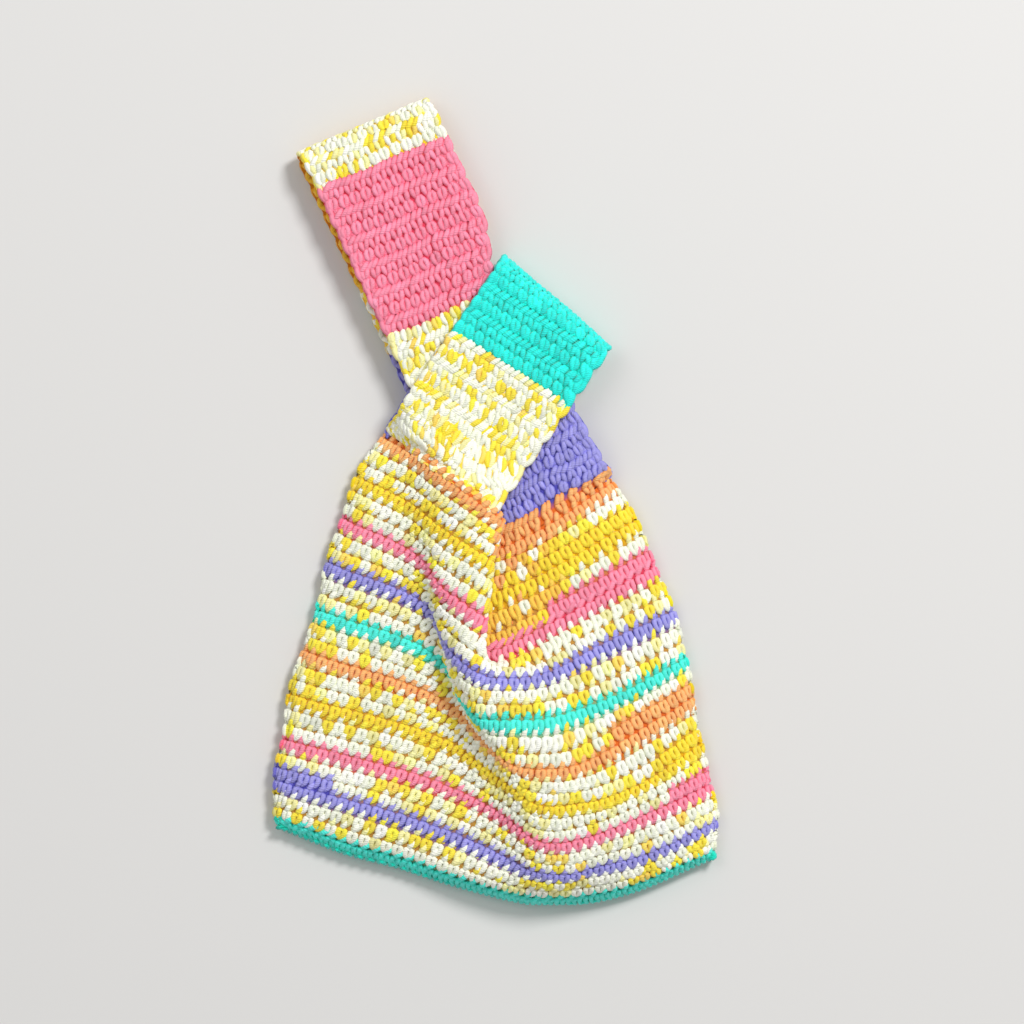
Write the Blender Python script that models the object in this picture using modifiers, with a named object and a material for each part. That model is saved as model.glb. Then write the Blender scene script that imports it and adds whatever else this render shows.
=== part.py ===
# Crocheted knot bag, lying on its back with the long handle drawn through the short one.
# Metres, +Z up. The bag is one piece of crochet: a body worked in the round from the bottom,
# and two handles that run on from its front edge over to its back edge.

import math

import bmesh
import bpy
import numpy as np

MM = 0.001
BODY_WIDTH = 237.0    # millimetres, as all sizes below
CAGE_WIDTH = 237      # the same width in units of the cage
UNIT = BODY_WIDTH / CAGE_WIDTH

# Fabric
WALL = 3.6            # thickness of the crochet
ROW_GROOVE = 1.0      # depth of the groove between two rows
ROW_HEIGHT = 7.6      # one row of stitches
ROUNDS = 28           # rounds of the body

# Handles
SHORT_HANDLE_LENGTH = 111.0   # from the body to the fold at the handle's top
SHORT_HANDLE_LEAN = -34.8     # degrees from +Y, to the right
LONG_HANDLE_LENGTH = 228.0
LONG_HANDLE_LEAN = 25.2       # degrees from +Y, to the left
STRAP_WIDTH = 73.0
SHORT_STRAP_SKEW = -5.5       # degrees that the strap's rows lean from square
LONG_STRAP_SKEW = -2.5
SHORT_BACK_SHIFT = -1.0       # how far the strap's back lies to the right of its front
LONG_BACK_SHIFT = -2.5

# How the layers lie on each other
LAYER_GAP = 0.6       # between two straps that lie on each other
HAND_GAP = 4.5        # between the front and the back of the long handle
ROLL_GAP = 4.6        # under the roll of fabric at the front of the mouth
EDGE_HEIGHT = 6.5     # height of the body's folded edge above the floor
EDGE_ROUND = 7.5      # how far the rounding of that edge reaches in
CORNER_BULGE = 2.5    # how far the bottom left corner stands out
BOTTOM_ROUNDS = 4     # over which the back's rows still follow the front's

ROLL_PRESS = 0.6      # how far the roll is pressed down
FLAT_BACK = (62, -178, -40)   # half width, bottom and top of the middle of the back, pressed flat, in units

STRAP_FLARE = 35.0    # over which a strap takes its full width from the body
EDGE_SHARE = 0.2      # share of a strap's width over which its edge falls
NO_PINCH = (0, 1, 0)
LOOP_PINCH = (130.0, 26.0, 8.0)  # where, how far along and how deep the loop presses the long handle in

LAYER = WALL + ROW_GROOVE
UNDER_LONG = LAYER + LAYER_GAP
OVER_LONG = UNDER_LONG + LAYER + HAND_GAP + LAYER
OVER_SHORT = OVER_LONG + LAYER_GAP + LAYER
ROLL_UNDER = OVER_LONG + ROLL_GAP
ROLL_TOP = ROLL_UNDER + 2 * LAYER + ROLL_GAP - ROLL_PRESS

# Heights of the handles' outer faces on the way up from the body's front and down to its back:
# distance from the body, then the left edge, beside it, beside the right edge and the right edge.
SHORT_RISE = [(8 * UNIT, [17 * UNIT, OVER_SHORT + 2 * UNIT, 32 * UNIT, 33 * UNIT]),
              (17 * UNIT, [OVER_SHORT, OVER_SHORT + UNIT, 28 * UNIT, 29 * UNIT])]
SHORT_RISE += [(distance * UNIT, [OVER_SHORT] * 4) for distance in (32, 55, 78)]
SHORT_FALL = [(distance * UNIT, [0] * 4) for distance in (70, 45, 20, 8)]
LONG_RISE = [(8 * UNIT, [OVER_LONG, OVER_LONG, OVER_LONG, 14 * UNIT]),
             (17 * UNIT, [OVER_LONG, OVER_LONG, OVER_LONG, OVER_LONG - UNIT])]
LONG_RISE += [(distance * UNIT, [OVER_LONG] * 4) for distance in (45, 75, 100, 115, 130, 145, 160, 185)]
LONG_FALL = [(185 * UNIT, [0] * 4), (160 * UNIT, [UNIT] * 4)]
LONG_FALL += [(distance * UNIT, [UNDER_LONG] * 4) for distance in (130, 115, 100, 70, 45)]
LONG_FALL += [(20 * UNIT, [UNDER_LONG, UNDER_LONG, UNDER_LONG, 0]),
              (8 * UNIT, [UNDER_LONG, UNDER_LONG, 3 * UNIT, 0])]

# Front of the body: height of its outer face over the floor along ten lines of stitches.
# A row runs from the left edge over the valley, the wall and the crest, then under the
# roll (only in the top rows), out again over the belly and down to the right edge.
FRONT_CAGE = {
    0: [(-115, -172), (-80, -186), (-50, -194), (-29, -201), (-8, -207),
        (8, -211), (21, -213), (40, -213), (69, -208), (117, -188)],
    4: [(-118, -145), (-55, -161), (-18, -174), (10, -188), (19, -193),
        (30, -195), (40, -195), (50, -192), (79, -185), (119, -167)],
    7: [(-113, -123), (-32, -145), (-5, -158), (10, -168), (20, -176),
        (32, -178), (43, -176), (55, -173), (80, -163), (115, -147)],
    10: [(-110, -99), (-24, -125), (-6, -139), (8, -149), (18, -156),
         (30, -158), (42, -157), (54, -155), (78, -146), (110, -125)],
    13: [(-102, -76), (-24, -105), (-9, -123), (5, -136), (15, -138),
         (27, -138), (38, -137), (50, -133), (74, -119), (106, -101)],
    16: [(-95, -54), (-31, -80), (-19, -104), (-8, -112), (2, -112),
         (14, -112), (26, -111), (38, -108), (66, -98), (102, -80)],
    19: [(-90, -29), (-38, -52), (-27, -73), (-15, -84), (-5, -89),
         (3, -90), (12, -90), (22, -89), (56, -72), (95, -55)],
    22: [(-81, -6), (-42, -26), (-29, -42), (-12, -53), (-3, -60),
         (-9, -67), (-15, -72), (-8, -77), (26, -63), (85, -31)],
    25: [(-74, 16), (-46, 2), (-29, -11), (-5, -26), (1, -30),
         (-4, -35), (-15, -41), (-8, -46), (20, -38), (75, -7)],
    28: [(-59, 37), (-42, 26), (-26, 14), (0, -5), (6, -10),
         (0, -14), (-16, -20), (-8, -25), (20, -15), (62, 13)],
}
FRONT_HEIGHTS = {
    4: [18, 19, 26, 29, 31, 31, 29, 21],
    7: [17, 23, 31, 35, 36, 35, 33, 25],
    10: [17, 25, 35, 39, 40, 39, 37, 27],
    13: [17, 27, 37, 40, 41, 40, 38, 29],
    16: [17, 27, 37, 40, 40, 39, 37, 29],
    19: [18, 28, 37, 39, 38, 36, 35, 27],
    22: [20, 31, 38, 32, 26.5, 24.5, 22, 23],
}
BACK_MIDDLE = {0: (0, -209), 4: (0, -184), 10: (0, -144), 16: (0, -103), 22: (0, -58), 28: (0, -22)}

# Stripes: one round of colour, then two of the pale yarn
STRIPE_ORDER = ("teal", "purple", "pink", "yellow", "orange")
STRIPE_PERIOD = 3
# The handles' rows up to which each yarn runs
SHORT_STRIPES = ((9, "cream"), (20, "teal"), (25, "cream"), (99, "purple"))
LONG_STRIPES = ((7, "purple"), (13, "cream"), (24, "pink"), (31, "cream"),
                (42, "yellow"), (47, "cream"), (99, "orange"))
YARNS = {
    "cream": (0.93, 0.90, 0.62),
    "teal": (0.03, 0.72, 0.62),
    "purple": (0.30, 0.24, 0.70),
    "pink": (0.96, 0.24, 0.36),
    "yellow": (0.98, 0.60, 0.03),
    "orange": (1.0, 0.35, 0.12),
}

# Mesh density. The front's columns are counted along the cage's lines: 0 is the left edge,
# 4 the crest, 5 the roll's edge, 7 the fold under it, 8 the right strap and 11 the right edge.
LEFT_COLUMNS = (0, 1, 1.5, 2, 3, 4)
MOUTH_COLUMNS = (5, 6, 6.5, 7, 7.5)
RIGHT_COLUMNS = (8, 8.5, 9, 9.5, 10, 11)
BACK_COLUMNS = (0, 0.032, 0.12, 0.21, 0.29, 0.36, 0.407, 0.453, 0.5, 0.547, 0.593,
                0.64, 0.72, 0.80, 0.88, 0.968, 1)
BACK_MOUTH = (0.44, 0.56)     # where the back's mouth begins and ends at the top
FRONT_COLUMNS = LEFT_COLUMNS + MOUTH_COLUMNS + RIGHT_COLUMNS
STRAP_COLUMNS = len(LEFT_COLUMNS) - 1
STEPS_PER_ROUND = 2
STEPS_PER_STRAP_RIB = 3       # a rib of the handle is two rows


def clear_scene():
    for thing in list(bpy.context.scene.objects):
        bpy.data.objects.remove(thing, do_unlink=True)


def spline(knots, values, at):
    """Smooth curve through values at rising knots, read at the places in at, with no overshoot."""
    knots = np.asarray(knots, float)
    values = np.asarray(values, float)
    at = np.atleast_1d(at)
    steps = np.diff(knots)
    slopes = np.diff(values, axis=0) / steps.reshape((-1,) + (1,) * (values.ndim - 1))
    before, after = slopes[:-1], slopes[1:]
    limit = 3 * np.minimum(abs(before), abs(after))
    between = np.clip((before + after) / 2, -limit, limit) * (before * after > 0)
    tangents = np.concatenate([slopes[:1], between, slopes[-1:]])
    index = np.clip(np.searchsorted(knots, at, side="right") - 1, 0, len(steps) - 1)
    shape = (-1,) + (1,) * (values.ndim - 1)
    width = steps[index].reshape(shape)
    t = (at - knots[index]).reshape(shape) / width
    return ((2 * t**3 - 3 * t**2 + 1) * values[index] + (t**3 - 2 * t**2 + t) * width * tangents[index]
            + (3 * t**2 - 2 * t**3) * values[index + 1] + (t**3 - t**2) * width * tangents[index + 1])


def ease(value):
    value = min(max(value, 0.0), 1.0)
    return value * value * (3 - 2 * value)


def along(points, shares):
    """Points at the given shares of the length of a smooth line through the points."""
    points = np.asarray(points, float)
    chords = np.linalg.norm(np.diff(points, axis=0), axis=1)
    knots = np.concatenate([[0], np.cumsum(chords)])
    fine = spline(knots, points, np.linspace(0, knots[-1], 240))
    length = np.concatenate([[0], np.cumsum(np.linalg.norm(np.diff(fine, axis=0), axis=1))])
    wanted = np.asarray(shares) * length[-1]
    return np.stack([np.interp(wanted, length, fine[:, axis]) for axis in range(3)], axis=1)


def on_lines(points, lines):
    """Points of a row where it meets the given lines of the cage."""
    points = np.asarray(points, float)
    knots = np.concatenate([[0], np.cumsum(np.linalg.norm(np.diff(points, axis=0), axis=1))])
    return spline(knots, points, np.interp(lines, np.arange(len(points)), knots))


def inward(edge, neighbour, height):
    """Point that rounds a folded edge, EDGE_ROUND in from it."""
    step = np.asarray(neighbour[:2], float) - np.asarray(edge[:2], float)
    step *= EDGE_ROUND / np.linalg.norm(step)
    return (edge[0] + step[0], edge[1] + step[1], height)


def roll_heights(round_number):
    """Heights where the left of the mouth rolls over the right of it."""
    share = (ROUNDS - round_number) / 3
    low = OVER_LONG + 1.5 * share * UNIT
    top = ROLL_TOP + share * UNIT
    return [(22 - 3 * share) * UNIT, (32 - share) * UNIT, top, (top + low + ROLL_GAP) / 2,
            low + ROLL_GAP, low + ROLL_GAP / 2, low, low]


def front_cage():
    """The key rows of the front with their heights, as (round, points)."""
    heights = {number: [height * UNIT for height in row] for number, row in FRONT_HEIGHTS.items()}
    heights[25] = roll_heights(25)
    heights[28] = roll_heights(28)
    rows = {}
    for number, plan in FRONT_CAGE.items():
        inner = heights.get(number, [EDGE_HEIGHT] * 8)
        levels = [EDGE_HEIGHT, *inner, EDGE_HEIGHT]
        points = [(x * UNIT, y * UNIT, z) for (x, y), z in zip(plan, levels)]
        crown = 2 * EDGE_HEIGHT if number else EDGE_HEIGHT
        points.insert(1, inward(points[0], points[1], crown))
        points.insert(-1, inward(points[-1], points[-2], crown))
        rows[number] = np.array(points)
    first = rows[0] + (rows[4] - rows[0]) * 0.22
    first[:, 2] = 2 * EDGE_HEIGHT + (rows[4][:, 2] - 2 * EDGE_HEIGHT) * 0.25
    first[[0, -1], 2] = EDGE_HEIGHT
    first[0, 0] -= CORNER_BULGE
    rows[1] = first
    return sorted(rows.items())


def front_row(cage, level):
    """One line of stitches on the front, as the points it runs through."""
    return spline([number for number, _ in cage], np.array([points for _, points in cage]), level)[0]


def back_row(cage, level):
    """The line of the same round on the back, which lies flat on the floor."""
    front = front_row(cage, level)
    middle = spline(list(BACK_MIDDLE), list(BACK_MIDDLE.values()), level)[0] * UNIT
    floor = EDGE_HEIGHT * (1 - ease(level / 0.9))
    left, right = front[0], front[-1]
    centre = (middle[0], middle[1], floor)
    return [left, inward(left, centre, floor), centre, inward(right, centre, floor), right]


def back_line(cage, level, shares):
    """Points along a back row. Near the bottom it follows the front's row, with which it joins."""
    line = along(back_row(cage, level), shares)
    plan = front_row(cage, level)
    plan[:, 2] = 0
    return line + (along(plan, shares) - line) * (1, 1, 0) * (1 - ease(level / BOTTOM_ROUNDS))


def back_shares(level):
    """Where the columns stand on a back row; the mouth's stitches draw together at the top."""
    shares = np.array(BACK_COLUMNS)
    mouth = (shares[STRAP_COLUMNS], shares[-STRAP_COLUMNS - 1])
    gathered = np.interp(shares, [0, *mouth, 1], [0, *BACK_MOUTH, 1])
    return shares + (gathered - shares) * ease(level / ROUNDS)


def back_lift(level, share):
    """How far the back's right half rises by the mouth, to pass over the short handle."""
    start, end = BACK_MOUTH
    across = ease((share - start) / (end - start)) * (1 - ease((share - 0.7) / 0.25))
    return UNDER_LONG * ease((level - 20) / 8) * across


def body_grids():
    """Outer face of the front and of the back, as rows of points."""
    cage = front_cage()
    levels = np.arange(0, ROUNDS * STEPS_PER_ROUND + 1) / STEPS_PER_ROUND
    front, back = [], []
    for level in levels:
        front.append(on_lines(front_row(cage, level), FRONT_COLUMNS))
        shares = back_shares(level)
        row = back_line(cage, level, shares)
        row[:, 2] = np.maximum(row[:, 2], 0) + [back_lift(level, share) for share in shares]
        back.append(row)
    return np.array(front), np.array(back)


def strap_ends(edge, middle, cross, distance, pressed):
    """How far a strap reaches left and right of its middle line, as it widens from the body."""
    share = ease(distance / STRAP_FLARE)
    reach = [float(np.dot(end[:2] - middle, cross)) for end in (edge[0], edge[-1])]
    left = reach[0] + (-STRAP_WIDTH / 2 - reach[0]) * share
    right = reach[1] + (STRAP_WIDTH / 2 - reach[1]) * share
    return left, right - pressed


def strap_sections(front, back, length, lean, skew, over, rise, fall, pinch, back_shift):
    """Sections that a handle runs through, front then back, each as points across the strap.

    pinch is (distance, reach, depth) where the right edge is pressed in.
    """
    angle = math.radians(90 + lean)
    axis = np.array([math.cos(angle), math.sin(angle)])
    cross = np.array([math.cos(angle - math.pi / 2 + math.radians(skew)),
                      math.sin(angle - math.pi / 2 + math.radians(skew))])
    middle = (front[0][:2] + front[-1][:2]) / 2
    radius = over / 2
    places = [(front, distance, heights, 0) for distance, heights in rise]
    for turn in np.linspace(0, math.pi, 5):
        height = radius + radius * math.cos(turn)
        distance = length - radius + radius * math.sin(turn)
        places.append((front, distance, [height] * 4, back_shift * turn / math.pi))
    places += [(back, distance, heights, back_shift) for distance, heights in fall]
    shares = np.linspace(0, 1, STRAP_COLUMNS + 1)
    sections = []
    for edge, distance, heights, shift in places:
        pressed = pinch[2] * ease(1 - abs(distance - pinch[0]) / pinch[1])
        shift *= ease(distance / STRAP_FLARE)
        left, right = strap_ends(edge, middle, cross, distance, pressed)
        levels = np.interp(shares, (0, EDGE_SHARE, 1 - EDGE_SHARE, 1), heights)
        centre = middle + axis * distance
        offsets = left + (right - left) * shares + shift
        sections.append([(*(centre + cross * offset), level) for offset, level in zip(offsets, levels)])
    return np.array(sections)


def strap_grid(base, end, sections):
    """Outer face of a handle from the front edge of the body to its back edge."""
    columns = []
    for index in range(STRAP_COLUMNS + 1):
        columns.append(np.vstack([base[index], sections[:, index], end[index]]))
    centre = np.mean(columns, axis=0)
    length = np.linalg.norm(np.diff(centre, axis=0), axis=1).sum()
    ribs = round(length / (2 * ROW_HEIGHT))
    shares = np.linspace(0, 1, ribs * STEPS_PER_STRAP_RIB + 1)
    grid = np.array([along(column, shares) for column in columns])
    return grid.transpose(1, 0, 2)


def stripe_of_round(number):
    if number % STRIPE_PERIOD:
        return "cream"
    return STRIPE_ORDER[number // STRIPE_PERIOD % len(STRIPE_ORDER)]


def stripe_of_strap(stripes, row):
    return next(yarn for last, yarn in stripes if row < last)


class Sheet:
    """The outer face of the whole bag, gathered grid by grid."""

    def __init__(self):
        self.mesh = bmesh.new()
        self.depth = self.mesh.verts.layers.float.new("groove")
        self.slots = list(YARNS)

    def vertex(self, point, groove):
        made = self.mesh.verts.new(point)
        made[self.depth] = groove
        return made

    def quad(self, corners, yarn):
        face = self.mesh.faces.new(corners)
        face.material_index = self.slots.index(yarn)
        face.smooth = True

    def sink_grooves(self):
        self.mesh.normal_update()
        moves = [(vert, vert.normal * vert[self.depth]) for vert in self.mesh.verts]
        for vert, move in moves:
            vert.co -= move

    def stand_on_origin(self):
        """Moves the middle of the bag's outline to the origin; its back already lies at zero."""
        places = np.array([vert.co for vert in self.mesh.verts])
        middle = (places.min(axis=0) + places.max(axis=0)) / 2
        bmesh.ops.translate(self.mesh, vec=(-middle[0], -middle[1], 0), verts=self.mesh.verts)


def body_groove(step):
    return ROW_GROOVE if step and step % STEPS_PER_ROUND == 0 else 0.0


def pressed_flat(point):
    """True on the middle of the back, where the bag's weight flattens the rows."""
    half_width, bottom, top = (size * UNIT for size in FLAT_BACK)
    return point[2] < 0.01 and abs(point[0]) < half_width and bottom < point[1] < top


def add_body(sheet, front, back):
    """Front and back share their side edges and the bottom edge."""
    top, last = len(front) - 1, len(FRONT_COLUMNS) - 1
    front_verts = []
    for step, row in enumerate(front):
        front_verts.append([sheet.vertex(point, body_groove(step)) for point in row])
    back_verts = []
    for step, row in enumerate(back):
        made = []
        for column, point in enumerate(row):
            if step == 0 or column in (0, last):
                made.append(front_verts[step][column])
            else:
                made.append(sheet.vertex(point, 0.0 if pressed_flat(point) else body_groove(step)))
        back_verts.append(made)
    for step in range(top):
        yarn = stripe_of_round(step // STEPS_PER_ROUND)
        for column in range(last):
            low, high = front_verts[step], front_verts[step + 1]
            sheet.quad((low[column], low[column + 1], high[column + 1], high[column]), yarn)
            low, high = back_verts[step], back_verts[step + 1]
            sheet.quad((low[column + 1], low[column], high[column], high[column + 1]), yarn)
    return front_verts[top], back_verts[top]


def add_strap(sheet, grid, front_edge, back_edge, stripes):
    rows = [front_edge]
    for step in range(1, len(grid) - 1):
        groove = ROW_GROOVE if step % STEPS_PER_STRAP_RIB == 0 else 0.0
        rows.append([sheet.vertex(point, groove) for point in grid[step]])
    rows.append(back_edge)
    for step in range(len(rows) - 1):
        yarn = stripe_of_strap(stripes, step * 2 / STEPS_PER_STRAP_RIB)
        for column in range(STRAP_COLUMNS):
            low, high = rows[step], rows[step + 1]
            sheet.quad((low[column], low[column + 1], high[column + 1], high[column]), yarn)


def add_handle(sheet, front_edge, back_edge, run, stripes):
    base = [np.array(vert.co) for vert in front_edge]
    end = [np.array(vert.co) for vert in back_edge]
    grid = strap_grid(base, end, strap_sections(base, end, *run))
    add_strap(sheet, grid, front_edge, back_edge, stripes)


def add_handles(sheet, front_edge, back_edge):
    left, right = slice(0, STRAP_COLUMNS + 1), slice(-STRAP_COLUMNS - 1, None)
    short = (SHORT_HANDLE_LENGTH, SHORT_HANDLE_LEAN, SHORT_STRAP_SKEW, OVER_SHORT,
             SHORT_RISE, SHORT_FALL, NO_PINCH, SHORT_BACK_SHIFT)
    long = (LONG_HANDLE_LENGTH, LONG_HANDLE_LEAN, LONG_STRAP_SKEW, OVER_LONG,
            LONG_RISE, LONG_FALL, LOOP_PINCH, LONG_BACK_SHIFT)
    add_handle(sheet, front_edge[left], back_edge[left], short, SHORT_STRIPES)
    add_handle(sheet, front_edge[right], back_edge[right], long, LONG_STRIPES)


def yarn_material(name, colour):
    material = bpy.data.materials.new(name)
    material.use_nodes = True
    shader = material.node_tree.nodes["Principled BSDF"]
    shader.inputs["Base Color"].default_value = (*colour, 1.0)
    shader.inputs["Roughness"].default_value = 0.85
    shader.inputs["Metallic"].default_value = 0.0
    return material


def make_bag():
    sheet = Sheet()
    front, back = body_grids()
    front_edge, back_edge = add_body(sheet, front, back)
    add_handles(sheet, front_edge, back_edge)
    sheet.sink_grooves()
    sheet.stand_on_origin()
    bmesh.ops.scale(sheet.mesh, vec=(MM, MM, MM), verts=sheet.mesh.verts)
    mesh = bpy.data.meshes.new("knot_bag")
    sheet.mesh.to_mesh(mesh)
    sheet.mesh.free()
    for name, colour in YARNS.items():
        mesh.materials.append(yarn_material(name, colour))
    bag = bpy.data.objects.new("knot_bag", mesh)
    shell = bag.modifiers.new("crochet_thickness", "SOLIDIFY")
    shell.thickness = WALL * MM
    shell.offset = -1.0
    return bag


def main():
    clear_scene()
    collection = bpy.data.collections.new("knot_bag")
    bpy.context.scene.collection.children.link(collection)
    collection.objects.link(make_bag())


main()
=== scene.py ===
import math

import bpy
import numpy as np
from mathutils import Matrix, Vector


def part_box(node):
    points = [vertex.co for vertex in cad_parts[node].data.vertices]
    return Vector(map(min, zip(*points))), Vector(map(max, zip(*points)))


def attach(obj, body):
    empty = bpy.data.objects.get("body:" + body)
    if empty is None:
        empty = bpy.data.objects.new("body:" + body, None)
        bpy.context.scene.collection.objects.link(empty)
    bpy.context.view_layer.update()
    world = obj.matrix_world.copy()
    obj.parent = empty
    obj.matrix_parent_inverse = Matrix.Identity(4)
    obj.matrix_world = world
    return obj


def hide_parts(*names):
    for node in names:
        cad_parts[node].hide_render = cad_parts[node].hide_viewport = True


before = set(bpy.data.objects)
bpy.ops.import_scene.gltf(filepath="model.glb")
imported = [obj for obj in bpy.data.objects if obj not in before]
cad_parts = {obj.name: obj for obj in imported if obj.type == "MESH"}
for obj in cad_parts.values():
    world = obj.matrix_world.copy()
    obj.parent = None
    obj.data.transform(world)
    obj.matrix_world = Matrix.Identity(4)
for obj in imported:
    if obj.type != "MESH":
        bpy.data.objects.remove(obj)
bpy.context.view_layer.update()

# Crocheted knot bag lying on its back, the long handle drawn through the short one.
# Sizes are in millimetres and become metres when a mesh is made.

mm = 0.001


# how the fabric lies, by the same numbers as the solid

fabric = {
    "wall": 3.6,
    "rowHeight": 7.6,
    "rounds": 28,
    "rowGroove": 1.0,
    "stitchPitch": 6.2,
    "edgeHeight": 6.5,      # the body's folded edge over the floor
    "edgeRound": 7.5,
    "cornerBulge": 2.5,     # how far the bottom left corner stands out
    "bottomRounds": 4,      # over which the back's rows still follow the front's
    "bottomTurn": 0.9,      # rounds over which the back comes down from the edge to the floor
}

layers = {
    "layerGap": 0.6,        # between layers that lie on each other
    "handGap": 4.5,         # inside the long handle
    "rollGap": 4.6,         # inside the roll at the mouth
    "rollPress": 0.6,       # how far the roll is pressed down
}
layers["one"] = fabric["wall"] + fabric["rowGroove"]
layers["underLong"] = layers["one"] + layers["layerGap"]
layers["overLong"] = layers["underLong"] + 2 * layers["one"] + layers["handGap"]
layers["overShort"] = layers["overLong"] + layers["layerGap"] + layers["one"]
layers["rollHeight"] = 2 * (layers["rollGap"] + layers["one"])
layers["rollTop"] = layers["overLong"] + layers["rollHeight"] - layers["rollPress"]

# each row of the front runs through the left edge, valley, wall, crest, roll edge,
# under the roll, fold, right strap, belly and right edge
frontCage = {
    0: [(-115, -172), (-80, -186), (-50, -194), (-29, -201), (-8, -207),
        (8, -211), (21, -213), (40, -213), (69, -208), (117, -188)],
    4: [(-118, -145), (-55, -161), (-18, -174), (10, -188), (19, -193),
        (30, -195), (40, -195), (50, -192), (79, -185), (119, -167)],
    7: [(-113, -123), (-32, -145), (-5, -158), (10, -168), (20, -176),
        (32, -178), (43, -176), (55, -173), (80, -163), (115, -147)],
    10: [(-110, -99), (-24, -125), (-6, -139), (8, -149), (18, -156),
         (30, -158), (42, -157), (54, -155), (78, -146), (110, -125)],
    13: [(-102, -76), (-24, -105), (-9, -123), (5, -136), (15, -138),
         (27, -138), (38, -137), (50, -133), (74, -119), (106, -101)],
    16: [(-95, -54), (-31, -80), (-19, -104), (-8, -112), (2, -112),
         (14, -112), (26, -111), (38, -108), (66, -98), (102, -80)],
    19: [(-90, -29), (-38, -52), (-27, -73), (-15, -84), (-5, -89),
         (3, -90), (12, -90), (22, -89), (56, -72), (95, -55)],
    22: [(-81, -6), (-42, -26), (-29, -42), (-12, -53), (-3, -60),
         (-9, -67), (-15, -72), (-8, -77), (26, -63), (85, -31)],
    25: [(-74, 16), (-46, 2), (-29, -11), (-5, -26), (1, -30),
         (-4, -35), (-15, -41), (-8, -46), (20, -38), (75, -7)],
    28: [(-59, 37), (-42, 26), (-26, 14), (0, -5), (6, -10),
         (0, -14), (-16, -20), (-8, -25), (20, -15), (62, 13)],
}
frontHeights = {
    4: [18, 19, 26, 29, 31, 31, 29, 21],
    7: [17, 23, 31, 35, 36, 35, 33, 25],
    10: [17, 25, 35, 39, 40, 39, 37, 27],
    13: [17, 27, 37, 40, 41, 40, 38, 29],
    16: [17, 27, 37, 40, 40, 39, 37, 29],
    19: [18, 28, 37, 39, 38, 36, 35, 27],
    22: [20, 31, 38, 32, 26.5, 24.5, 22, 23],
}
# heights of the last rows, at the mouth and what each gains three rounds below it
rollShape = {
    "over": 3,
    "valley": (22, -3),
    "wall": (32, -1),
    "top": (layers["rollTop"], 1),
    "low": (layers["overLong"], 1.5),
}
# where the middle of the back lies
backMiddle = {
    0: (0, -209), 4: (0, -184), 10: (0, -144), 16: (0, -103), 22: (0, -58), 28: (0, -22),
}
# where the back lifts towards the long handle: across it, and from and over how many rounds
backMouth = (0.44, 0.56)
backRise = {"from": 20, "over": 8, "end": 0.7, "fall": 0.25}
# the row beside the bottom one, as shares of the way to the next row of the cage
firstRow = {"plan": 0.22, "height": 0.25}

# where lines up a handle begin, among the points of the front and as shares of the back
strapLines = {"left": (0, 1, 1.5, 2, 3, 4), "right": (8, 8.5, 9, 9.5, 10, 11)}
strapBackShares = (0, 0.032, 0.12, 0.21, 0.29, 0.36)

# rise and fall: distances from the body, each with heights at four places across
# pinch: at what distance, over what reach and how far a handle is pressed narrower
shortHandle = {
    "length": 111.0, "lean": -34.8, "skew": -5.5, "over": layers["overShort"],
    "pinch": (0, 1, 0), "backShift": -1.0,
    "rise": [(8, [17, layers["overShort"] + 2, 32, 33]),
             (17, [layers["overShort"], layers["overShort"] + 1, 28, 29])]
            + [(distance, [layers["overShort"]] * 4) for distance in (32, 55, 78)],
    "fall": [(distance, [0] * 4) for distance in (70, 45, 20, 8)],
}
longHandle = {
    "length": 228.0, "lean": 25.2, "skew": -2.5, "over": layers["overLong"],
    "pinch": (130, 26, 8.0), "backShift": -2.5,
    "rise": [(8, [layers["overLong"]] * 3 + [14]),
             (17, [layers["overLong"]] * 3 + [layers["overLong"] - 1])]
            + [(distance, [layers["overLong"]] * 4)
               for distance in (45, 75, 100, 115, 130, 145, 160, 185)],
    "fall": [(185, [0] * 4), (160, [1] * 4)]
            + [(distance, [layers["underLong"]] * 4) for distance in (130, 115, 100, 70, 45)]
            + [(20, [layers["underLong"]] * 3 + [0]), (8, [layers["underLong"]] * 2 + [3, 0])],
}
strap = {"width": 73.0, "flare": 35.0, "edgeShare": 0.2}


def smoothCurve(knots, values, at):
    # a smooth curve through the values that never overshoots them
    knots = np.asarray(knots, float)
    values = np.asarray(values, float)
    at = np.atleast_1d(at)
    shape = (-1,) + (1,) * (values.ndim - 1)
    steps = np.diff(knots)
    slopes = np.diff(values, axis=0) / steps.reshape(shape)
    before, after = slopes[:-1], slopes[1:]
    limit = 3 * np.minimum(abs(before), abs(after))
    between = np.clip((before + after) / 2, -limit, limit) * (before * after > 0)
    tangents = np.concatenate([slopes[:1], between, slopes[-1:]])
    index = np.clip(np.searchsorted(knots, at, side="right") - 1, 0, len(steps) - 1)
    width = steps[index].reshape(shape)
    t = (at - knots[index]).reshape(shape) / width
    return ((2 * t**3 - 3 * t**2 + 1) * values[index]
            + (t**3 - 2 * t**2 + t) * width * tangents[index]
            + (3 * t**2 - 2 * t**3) * values[index + 1]
            + (t**3 - t**2) * width * tangents[index + 1])


def ease(value):
    # a soft step from 0 to 1
    value = np.clip(value, 0.0, 1.0)
    return value * value * (3 - 2 * value)


def chordKnots(points):
    # the length along a line up to each of its points
    return np.concatenate([[0], np.cumsum(np.linalg.norm(np.diff(points, axis=0), axis=1))])


def evenly(points, shares):
    # points at shares of the length of a fine line
    length = chordKnots(points)
    wanted = np.asarray(shares) * length[-1]
    return np.stack([np.interp(wanted, length, points[:, axis]) for axis in range(3)], axis=1)


def fineLine(points, count=500):
    points = np.asarray(points, float)
    knots = chordKnots(points)
    return smoothCurve(knots, points, np.linspace(0, knots[-1], count))


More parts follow.
